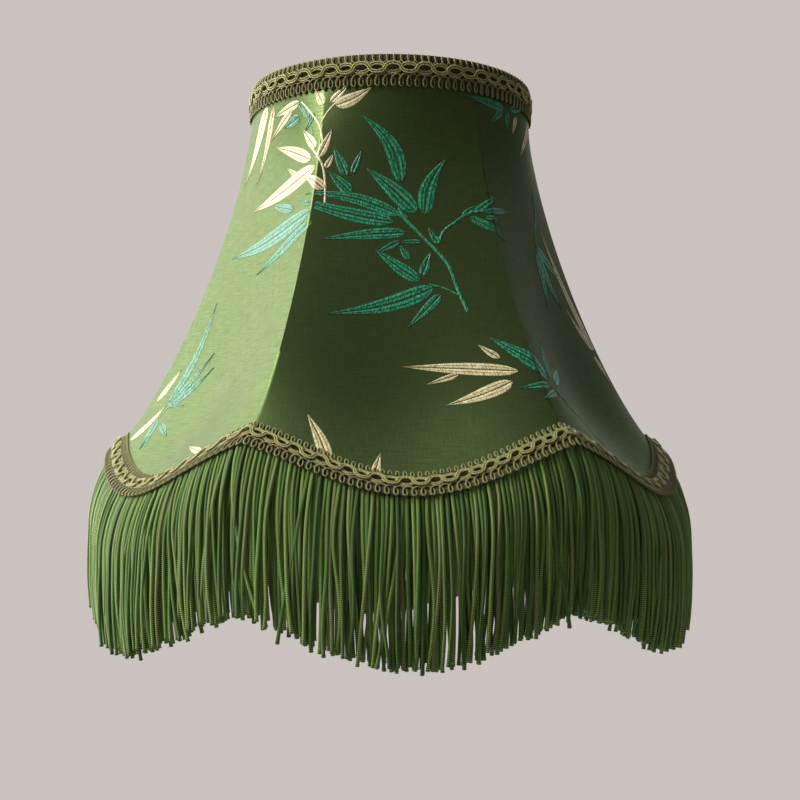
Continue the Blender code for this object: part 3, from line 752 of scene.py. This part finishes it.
emerald_figure = [
    # the large spray on the front panel: its stem, its twigs and its leaves
    *stem(1.5, (18, 141), (16, 127), (14, 113), (8, 100), (1, 88), (-1, 82)),
    *stem(1.1, (12, 102), (14, 95), (18, 90), (24, 84), (34, 83)),
    *stem(0.8, (16, 131), (12, 127), (8, 125)),
    *leaf(0, 67, -15, 31, 9, 5),
    *leaf(5, 84, -13, 60, 9.5, 1),
    *leaf(8, 85, 17, 54, 8.5, -3),
    *leaf(-1, 86, -34, 74, 7, 3),
    *leaf(-3, 90, -38, 76, 8, -2),
    *leaf(1, 96, -26, 101, 6.5, 1),
    *leaf(-20, 64, -25, 48, 5, 0),
    *leaf(-18, 63, -15, 50, 3, 0),
    *leaf(-18, 74, -26, 62, 6, 0),
    *leaf(2, 88, -3, 83, 3, 0),
    *leaf(21, 86, 26, 80, 3, 0),
    *leaf(25, 84, 34, 73, 3.5, 0),
    *leaf(28, 84, 43, 79, 3.5, 0),
    *leaf(28, 87, 34, 88, 2.5, 0),
    *leaf(23, 87, 35, 99, 4.5, 0),
    *leaf(12, 102, 9, 93, 3.5, 0),
    *leaf(-1, 101, -9, 108, 3.5, 0),
    *leaf(6, 101, -1, 101, 2.5, 0),
    *leaf(5, 123, -9, 106, 7, 0),
    *leaf(2, 111, -1, 103, 3.5, 0),
    *leaf(6, 120, 9, 107, 4.5, 0),
    *leaf(9, 127, -21, 143, 9.5, -2),
    *leaf(11, 131, 1, 149, 5, 0),
    # the leaves that lie over the left rib and panel
    *leaf(-30, 85, -79, 100, 11, -3),
    *leaf(-40, 81, -56, 74, 5, 0),
    *leaf(-29, 91, -56, 114, 6.5, -1),
    *leaf(-37, 30, -41, 20, 4, 0),
    *leaf(-42, 28, -51, 32, 6, 0),
    *leaf(-34, 28, -39, 38, 3, 0),
    *stem(0.8, (-34, 40), (-37, 31), (-41, 24), (-44, 19)),
    # the spray low on the left panel
    *stem(1.1, (-75, 214), (-79, 200), (-78, 186), (-74, 176)),
    *leaf(-80, 186, -79, 126, 6, 2),
    *leaf(-79, 188, -69, 157, 5, -1),
    *leaf(-78, 190, -66, 166, 5, -1),
    *leaf(-79, 188, -72, 188, 2.5, 0),
    *leaf(-79, 198, -76, 216, 5, 0),
    *leaf(-76, 200, -70, 207, 3.5, 0),
    # the small spray low on the front panel
    *leaf(34, 180, 22, 156, 9, 1),
    *leaf(36, 178, 41, 155, 5, -1),
    *leaf(38, 181, 48, 169, 5.5, 0),
    *leaf(33, 184, 25, 186, 4, 0),
    *leaf(35, 187, 29, 193, 4, 0),
    *stem(1.0, (34, 184), (38, 189), (43, 199), (50, 205)),
    *leaf(47, 203, 50, 214, 4, 0),
    # the spray under the top braid on the right panel
    *leaf(47, 20, 27, 18, 5, 0),
    *leaf(46, 21, 38, 30, 4, 0),
    *leaf(50, 21, 50, 31, 4, 0),
    *leaf(52, 18, 68, 12, 5, 0),
    *leaf(66, 96, 74, 128, 8, 2),
    *leaf(64, 98, 60, 132, 6, -2),
    *leaf(67, 94, 84, 112, 7, 0),
    *stem(1.1, (66, 97), (69, 84), (75, 72), (78, 56)),
]
cream_figure = [
    *leaf(-25, 25, -11, 16, 7, 1),
    *leaf(-27, 23, -20, 14, 4, 0),
    *leaf(-30, 24, -34, 14, 5, 0),
    *stem(1.1, (-26, 80), (-27, 66), (-29, 56), (-33, 49), (-36, 45)),
    *stem(1.1, (-31, 54), (-29, 46), (-31, 36), (-36, 27), (-41, 20)),
    *stem(0.9, (-31, 36), (-28, 28), (-24, 22)),
    *leaf(-42, 20, -58, 24, 5, 0),
    *leaf(-46, 23, -61, 36, 4.5, 0),
    *leaf(-32, 48, -40, 35, 5, 0),
    *leaf(-34, 54, -57, 41, 7, 1),
    *leaf(-30, 54, -26, 38, 4.5, 0),
    *leaf(-27, 60, -25, 52, 3, 0),
    *leaf(-31, 59, -71, 74, 10, -2),
    *leaf(-27, 72, -36, 63, 6, 1),
    *leaf(-40, 62, -48, 55, 3, 0),
    *leaf(-63, 16, -84, 55, 8, 2),
    *leaf(-58, 18, -72, 58, 5, 0),
    # the cream leaves of the small spray low on the front panel
    *leaf(26, 176, -1, 171, 7, 1),
    *leaf(13, 176, 5, 181, 3, 0),
    *leaf(24, 182, 9, 193, 7, -1),
    *leaf(23, 168, 19, 160, 3.5, 0),
    # tips that rise from under the base braid
    *leaf(-15, 228, -21, 201, 6, 1),
    *leaf(-7, 234, -6, 220, 4, 0),
    *leaf(-44, 220, -54, 214, 3.5, 0),
    *leaf(-84, 212, -80, 188, 6, 1),
    *leaf(-86, 186, -83, 166, 5, 0),
    # the long leaves by the right side rib
    *leaf(88, 152, 76, 80, 7, 2),
    *leaf(87, 152, 78, 128, 5, 0),
    *leaf(86, 156, 88, 172, 5, 0),
    *leaf(58, 21, 55, 31, 4, 0),
    *leaf(78, 18, 64, 41, 6, 0),
]
for name, silk_material, figure in (("emerald", emerald, emerald_figure), ("cream", cream, cream_figure)):
    for half_name, turn in (("front", 1), ("back", -1)):
        turned_by = (turn, turn, 1)
        patches = [(outer * turned_by, inner * turned_by, cloth) for outer, inner, cloth in figure]
        show(f"{name}_bamboo_{half_name}", slabs("figure", patches), silk_material, "shade")


# ================================================================ braid
# Scroll gimp, 17 mm wide: two waves of paired rayon cord laid through each other, with small loops above them
# and long loops below, all stitched to a narrow woven ground. It is glued over the raw edges of the cover.


def round_cord(tree):
    """How far along its cord a point lies, and its angle round the cord."""
    place = node(tree, "ShaderNodeAttribute", {"attribute_name": "cord"}).outputs["Vector"]
    parts = node(tree, "ShaderNodeSeparateXYZ", None, {"Vector": place}).outputs
    turn = node(tree, "ShaderNodeMath", {"operation": "ARCTAN2"}, {0: parts["Z"], 1: parts["Y"]})
    return parts["X"], turn.outputs["Value"]


# Rayon twisted over a cotton core: silky olive, with painted shade where the strands meet
# and a painted highlight along each strand's crown.
STRAND = 0.698 * MM
gimp, gimp_shader, gimp_tree = finish(
    "rayon_gimp_cord", "#86884C", 0.42, Sheen_Weight=0.15, Sheen_Roughness=0.4, Sheen_Tint=linear("#F2EFC0")
)
gimp_along, gimp_turn = round_cord(gimp_tree)
gimp_run = node(
    gimp_tree,
    "ShaderNodeMath",
    {"operation": "MULTIPLY_ADD"},
    {0: gimp_along, 1: 2 * math.pi / STRAND, 2: gimp_turn},
).outputs["Value"]
gimp_twist = node(gimp_tree, "ShaderNodeMath", {"operation": "SINE"}, {0: gimp_run}).outputs["Value"]
gimp_twist = node(
    gimp_tree, "ShaderNodeMath", {"operation": "MULTIPLY_ADD"}, {0: gimp_twist, 1: 0.5, 2: 0.5}
).outputs["Value"]
# the darkest stop is painted shade between the strands, and the palest is a painted highlight on them
gimp_strand_painted_shading = ramp(gimp_tree, gimp_twist, ((0, "#3D3D18"), (0.45, "#9B9A4B"), (1, "#D6D48A")))
# each group of cords keeps a painted brightness in "tint": the loops, lower than the waves, are painted darker
# as painted shade
gimp_painted_brightness = node(gimp_tree, "ShaderNodeAttribute", {"attribute_name": "tint"}).outputs["Fac"]
gimp_painted_shade = ramp(gimp_tree, gimp_painted_brightness, ((0, 0.0), (1, 1.0)))
gimp_colour = node(
    gimp_tree,
    "ShaderNodeMix",
    {"data_type": "RGBA", "blend_type": "MULTIPLY"},
    {"Factor": 1.0, "A": gimp_strand_painted_shading, "B": gimp_painted_shade},
).outputs["Result"]
gimp_bump = node(
    gimp_tree, "ShaderNodeBump", None, {"Strength": 1.0, "Distance": 0.2 * MM, "Height": gimp_twist}
)
gimp_tree.links.new(gimp_bump.outputs["Normal"], gimp_shader.inputs["Normal"])
gimp_tree.links.new(gimp_colour, gimp_shader.inputs["Base Color"])

# The ground is cotton gauze, dull olive, with threads 0.4 by 0.8 mm; its very dark colour is partly painted
# shade between the loops.
web, web_shader, web_tree = finish("gimp_ground", "#2E2B12", 0.9)
web_place = node(web_tree, "ShaderNodeAttribute", {"attribute_name": "cloth"}).outputs["Vector"]
web_threads = node(
    web_tree, "ShaderNodeMapping", None, {"Vector": web_place, "Scale": (1 / (0.385 * MM), 1 / (0.83 * MM), 1)}
)
web_noise = node(
    web_tree, "ShaderNodeTexNoise", None, {"Vector": web_threads.outputs["Vector"], "Scale": 1.0, "Detail": 2.0}
).outputs["Fac"]
# the dark stops are partly the gauze's olive and partly painted shade in the gaps between the loops
web_colour = ramp(web_tree, web_noise, ((0.3, "#201F0B"), (0.7, "#4A4822")))
web_tree.links.new(web_colour, web_shader.inputs["Base Color"])

TOP_BRAID_IN = 4.0 * MM


def on_top(theta, down, out):
    """Points on the top braid, from its upper edge down."""
    over = np.clip(2.6 * MM - down, 0, None)
    return skin(theta, -2.0 * MM + 1.07 * np.asarray(down), TOP_BRAID_IN + out - 0.35 * over)


def on_base(theta, down, out):
    """Points on the base braid, from its upper edge down."""
    lifted = np.clip((np.asarray(down) - 3 * MM) / (3 * MM), 0, 1)
    return at_base(theta, -13.6 * MM + 1.04 * np.asarray(down), COVER_OUT + 0.1 * MM + 1.3 * MM * lifted + out)


def even_angles(place, down, count):
    """Angles all the way round that are evenly spaced along the braid."""
    fine = np.linspace(-math.pi, math.pi, 2881)
    line = place(fine, down, 0)
    lengths = np.concatenate(([0], np.cumsum(np.linalg.norm(np.diff(line, axis=0), axis=1))))
    return lambda steps: np.interp(np.asarray(steps) / count * lengths[-1], lengths, fine), lengths[-1] / count


WAVE_SWING = 2.25 * MM
WAVE_ROUNDING = 0.05
for name, place, waves, small_loops, small_curl, long_loops, ground_top in (
    ("top", on_top, 30, 136, 0.3, 120, 0.9 * MM),
    ("base", on_base, 74, 280, 0.46, 246, 3.6 * MM),
):
    paths = []
    # the small upright loops along the upper edge
    angle_of, pitch = even_angles(place, 2.5 * MM, small_loops)
    t = np.arange(small_loops * 16) / 16
    swing = np.cos(2 * np.pi * t)
    curl = small_curl * np.sin(2 * np.pi * t)
    paths.append(place(angle_of((t - curl) % small_loops), (2.75 - 2.2 * swing) * MM, (0.6 + 0.5 * curl) * MM))
    # the long loops along the lower edge
    angle_of, pitch = even_angles(place, 14 * MM, long_loops)
    t = np.arange(long_loops * 16) / 16
    swing = np.cos(2 * np.pi * t)
    curl = 0.47 * np.sin(2 * np.pi * t)
    paths.append(place(angle_of((t - curl) % long_loops), (13.6 + 3.0 * swing) * MM, (0.7 + 0.6 * curl) * MM))
    # the two waves, the first always on top
    angle_of, pitch = even_angles(place, 7.5 * MM, waves)
    t = np.arange(waves * 16) / 16
    for phase, height in ((0, 1.75), (math.pi, 0.95)):
        for offset in (-0.55, 0.55):
            swing = np.sin(2 * np.pi * t + phase)
            rounding = WAVE_ROUNDING * np.sin(4 * np.pi * t)
            rate = pitch * (1 - WAVE_ROUNDING * 4 * np.pi * np.cos(4 * np.pi * t))
            slope = WAVE_SWING * 2 * np.pi / rate * np.cos(2 * np.pi * t + phase)
            tilt = np.sqrt(1 + slope**2)
            step = offset * MM * slope / tilt / pitch
            down = 7.5 * MM + WAVE_SWING * swing + offset / tilt * MM
            paths.append(place(angle_of((t - step - rounding) % waves), down, height * MM))
    facing = []
    for path in paths:
        away = path * (1, 1, 0)
        facing.append(away / np.linalg.norm(away, axis=1, keepdims=True) + (0, 0, 0.4))
    bm = bmesh.new()
    # the loops are painted darker than the waves, as painted shade
    for cords, radius, shade in (
        (slice(0, 1), 0.44 * MM, 0.7),
        (slice(1, 2), 0.5 * MM, 0.55),
        (slice(2, 6), 0.45 * MM, 1.0),
    ):
        part = tubes("cords", paths[cords], facing[cords], radius, 6, closed=True)
        part.attributes["tint"].data.foreach_set("value", [shade] * len(part.vertices))
        bm.from_mesh(part)
    mesh = bpy.data.meshes.new("braid")
    bm.to_mesh(mesh)
    bm.free()
    mesh.shade_smooth()
    show(f"scroll_gimp_{name}", mesh, gimp, "shade", [name + "_braid"])

    # the woven ground under the cords, closed to a ring at the back
    thetas = np.linspace(-math.pi, math.pi, 721)[None, :]
    downs = np.linspace(ground_top, 16 * MM, 11)[:, None]
    ground_cloth = np.stack(np.broadcast_arrays(thetas * 0.15, downs), -1)
    patch = (place(thetas, downs, 0.25 * MM), place(thetas, downs, 0.02 * MM), ground_cloth)
    ground_mesh = slabs("ground", [patch])
    bm = bmesh.new()
    bm.from_mesh(ground_mesh)
    seam = [face for face in bm.faces if all(abs(vert.co.x) < 1e-5 and vert.co.y > 0 for vert in face.verts)]
    bmesh.ops.delete(bm, geom=seam, context="FACES")
    bmesh.ops.remove_doubles(bm, verts=bm.verts, dist=1e-6)
    ground = bpy.data.meshes.new("ground")
    bm.to_mesh(ground)
    bm.free()
    ground.shade_smooth()
    show(f"gimp_ground_{name}", ground, web, "shade")


# ================================================================ fringe
# Chainette fringe: knitted rayon cords, sewn in three layers to a woven heading behind the base braid. They
# follow the cloth's slope as they come out from under the braid, and then hang.

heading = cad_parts["fringe_heading"]
heading.data.materials.clear()
heading.data.materials.append(web)

# Knitted rayon chain: bright grass green, each cord dyed a little differently, with V-shaped stitches and a
# groove down its face, whose hollows are painted dark as painted shade.
STITCH = 0.952 * MM
chainette, chainette_shader, chainette_tree = finish(
    "chainette_rayon_cord", "#4F7A38", 0.45, Sheen_Weight=0.3, Sheen_Roughness=0.4, Sheen_Tint=linear("#D8F0B0")
)
chain_along, chain_turn = round_cord(chainette_tree)
chain_turn = node(
    chainette_tree, "ShaderNodeMath", {"operation": "ABSOLUTE"}, {0: chain_turn}
).outputs["Value"]
chain_lean = node(
    chainette_tree, "ShaderNodeMath", {"operation": "MULTIPLY"}, {0: chain_turn, 1: -2.2}
).outputs["Value"]
chain_run = node(
    chainette_tree,
    "ShaderNodeMath",
    {"operation": "MULTIPLY_ADD"},
    {0: chain_along, 1: 2 * math.pi / STITCH, 2: chain_lean},
).outputs["Value"]
stitch = node(chainette_tree, "ShaderNodeMath", {"operation": "SINE"}, {0: chain_run}).outputs["Value"]
stitch = node(
    chainette_tree, "ShaderNodeMath", {"operation": "MULTIPLY_ADD"}, {0: stitch, 1: 0.5, 2: 0.5}
).outputs["Value"]
# painted shade down the groove on the cord's face
painted_groove_shade = ramp(chainette_tree, chain_turn, ((0.0, 0.35), (0.3, 1.0)))
stitch = node(
    chainette_tree, "ShaderNodeMath", {"operation": "MULTIPLY"}, {0: stitch, 1: painted_groove_shade}
).outputs["Value"]
own = node(chainette_tree, "ShaderNodeAttribute", {"attribute_name": "tint"}).outputs["Fac"]
dyed = ramp(chainette_tree, own, ((0.0, "#46761A"), (0.4, "#74A83A"), (0.8, "#A6D05E"), (1.0, "#9FAB66")))
# painted shade in the hollows between the stitches
painted_shade_between_stitches = ramp(chainette_tree, stitch, ((0.15, 0.08), (0.6, 1.0)))
chainette_colour = node(
    chainette_tree,
    "ShaderNodeMix",
    {"data_type": "RGBA", "blend_type": "MULTIPLY"},
    {"Factor": 1.0, "A": dyed, "B": painted_shade_between_stitches},
).outputs["Result"]
stitch_bump = node(
    chainette_tree, "ShaderNodeBump", None, {"Strength": 1.0, "Distance": 0.4 * MM, "Height": stitch}
)
chainette_tree.links.new(chainette_colour, chainette_shader.inputs["Base Color"])
chainette_tree.links.new(stitch_bump.outputs["Normal"], chainette_shader.inputs["Normal"])


def frayed(along):
    """A cord's thickness along its length, as a share: it spreads a little at its cut end."""
    return 1 + 0.18 * (along > along[-1] - 0.5 * MM)


FRINGE_DROP = 76 * MM
CORD_RADIUS = 0.93 * MM
CORDS = 76
FLARE = 7.5 * MM
FLARE_DROP = 30 * MM
CURL_IN = 3 * MM
STRAY_LIMIT = 13 * MM
for number in range(6):
    rng = np.random.default_rng(40 + number)
    centre = number * PANEL_ANGLE
    edges = np.linspace(-PANEL_ANGLE / 2, PANEL_ANGLE / 2, 481) + centre
    line = at_base(edges, 3 * MM, 3 * MM)
    lengths = np.concatenate(([0], np.cumsum(np.linalg.norm(np.diff(line, axis=0), axis=1))))
    paths, facing = [], []
    for layer, depth in ((0, 0.7), (1, -1.2), (0.4, -3.0)):
        # neighbours lean together, and a few cords stray across the rest
        bunches = rng.normal(0, 2.2 * MM, CORDS // 4 + 1)
        leaning = np.interp(np.arange(CORDS), np.arange(0, CORDS + 4, 4), bunches)
        for k in range(CORDS):
            shifted = 0.5 * layer if k < CORDS - 1 else 0
            place_along = (k + 0.5 + shifted + rng.normal(0, 0.1)) / CORDS
            theta = np.interp(np.clip(place_along, 0.004, 0.996) * lengths[-1], lengths, edges)
            share = np.append(np.linspace(0, 0.975, 14), 1) * (1 + rng.normal(0, 0.014))
            stray = np.clip(rng.standard_t(2.2) * (1.7 - 0.6 * layer) * MM, -STRAY_LIMIT, STRAY_LIMIT)
            wander = (leaning[k] + stray) * share**1.4
            wander = wander + rng.normal(0, 0.75 * MM) * np.sin(6 * share + rng.uniform(0, 6)) * share**0.5
            out = depth * MM + rng.normal(0, 0.45 * MM) + rng.normal(0, 1.1 * MM) * share**2
            top = at_base(theta, 3 * MM, 2.9 * MM)
            flared = 1 - (1 - np.minimum(share * FRINGE_DROP / FLARE_DROP, 1)) ** 2
            curled = np.clip(share - 0.6, 0, None) / 0.4
            radius = math.hypot(top[0], top[1]) + FLARE * flared - CURL_IN * curled**2 + out
            turned_by = theta + wander / radius
            height = top[2] - share * FRINGE_DROP
            path = np.stack([radius * np.sin(turned_by), -radius * np.cos(turned_by), height], -1)
            sewn = at_base(theta, -0.5 * MM, 4.4 * MM + 0.3 * depth * MM)
            paths.append(np.concatenate([[sewn], [(sewn + path[0]) / 2], path[1:]]))
            facing.append((math.sin(theta), -math.cos(theta), 0.1))
    mesh = tubes("fringe", paths, facing, CORD_RADIUS, 6, shape=frayed)
    show(f"chainette_fringe_{number + 1}", mesh, chainette, "shade", [f"fringe_{number + 1}"])
